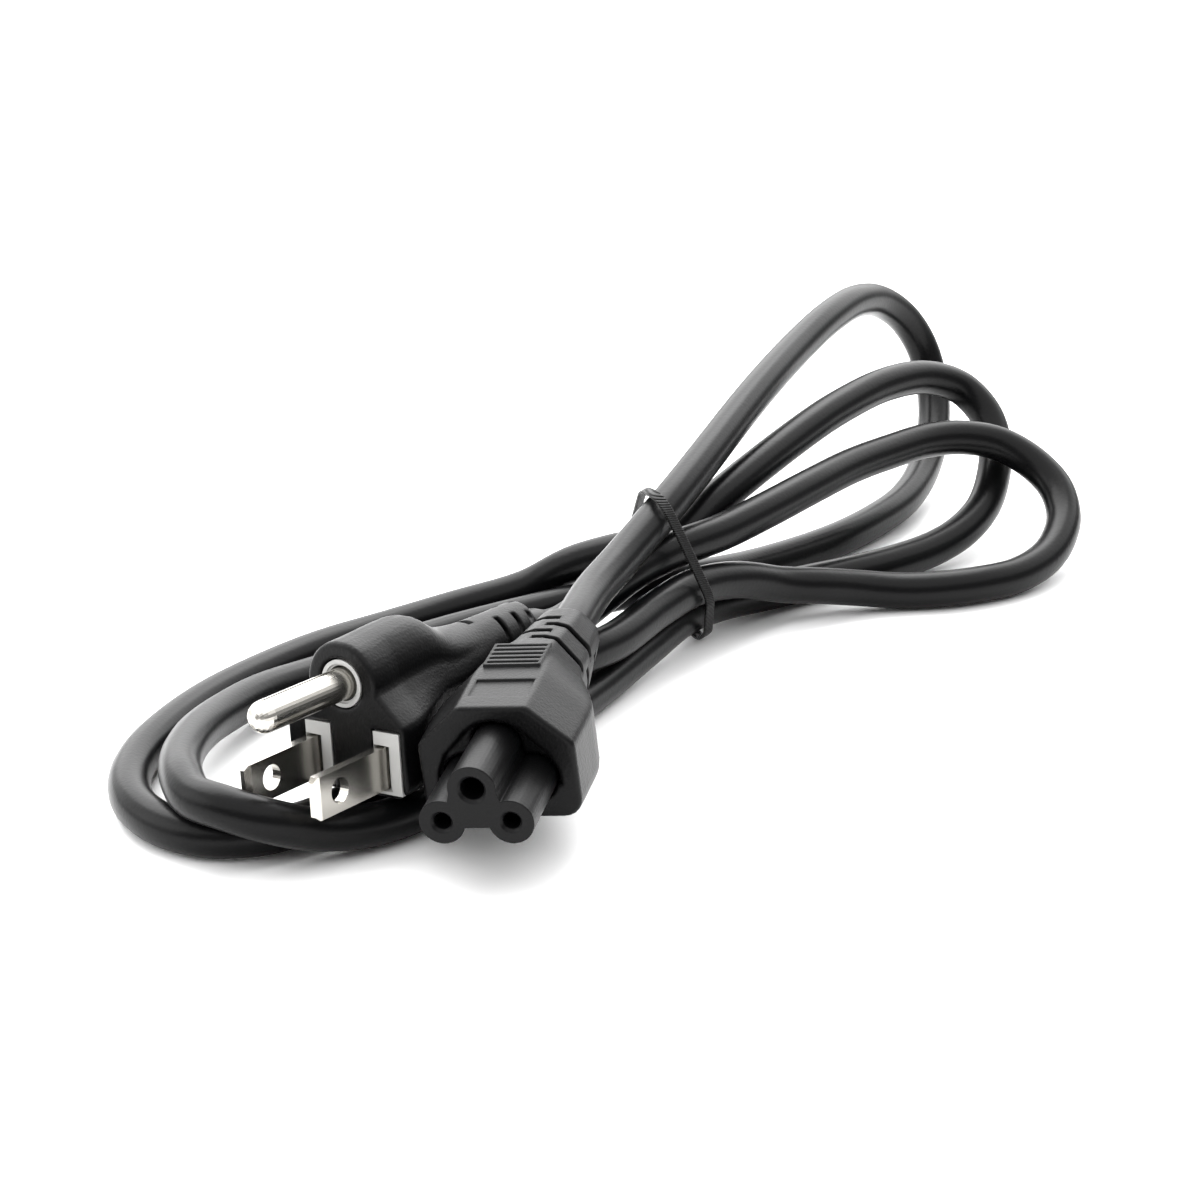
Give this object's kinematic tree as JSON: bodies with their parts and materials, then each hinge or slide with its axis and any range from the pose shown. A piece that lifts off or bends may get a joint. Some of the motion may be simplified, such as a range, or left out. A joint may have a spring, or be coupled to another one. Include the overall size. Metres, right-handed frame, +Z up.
{
  "type": "laptop power cord",
  "caption": "Coiled round black power cord with a moulded three-pin plug and a three-lobed laptop adapter connector, held together by a wire tie.",
  "frame": {"origin": "middle of the bottom of the box round the plug, the connector and the tie, at the height of the floor that the cord lies on", "axes": "+Z up from the floor, +X towards the right of the picture and +Y away from its camera, from the plug and connector towards the tie"},
  "size_m": [0.1628, 0.2098, 0.0416],
  "materials": {
    "cable": "satin",
    "housing": "fine grained satin",
    "core": "satin",
    "insert": "satin",
    "nickel": "bright",
    "tie": "satin"
  },
  "bodies": {
    "root": {"cord": "cable", "plug_body": "housing", "plug_insert": "insert", "ground_pin": "nickel", "blade_line": "nickel", "blade_neutral": "nickel", "connector_body": "housing", "connector_core": "core", "twist_tie": "tie"}
  },
  "joints": []
}
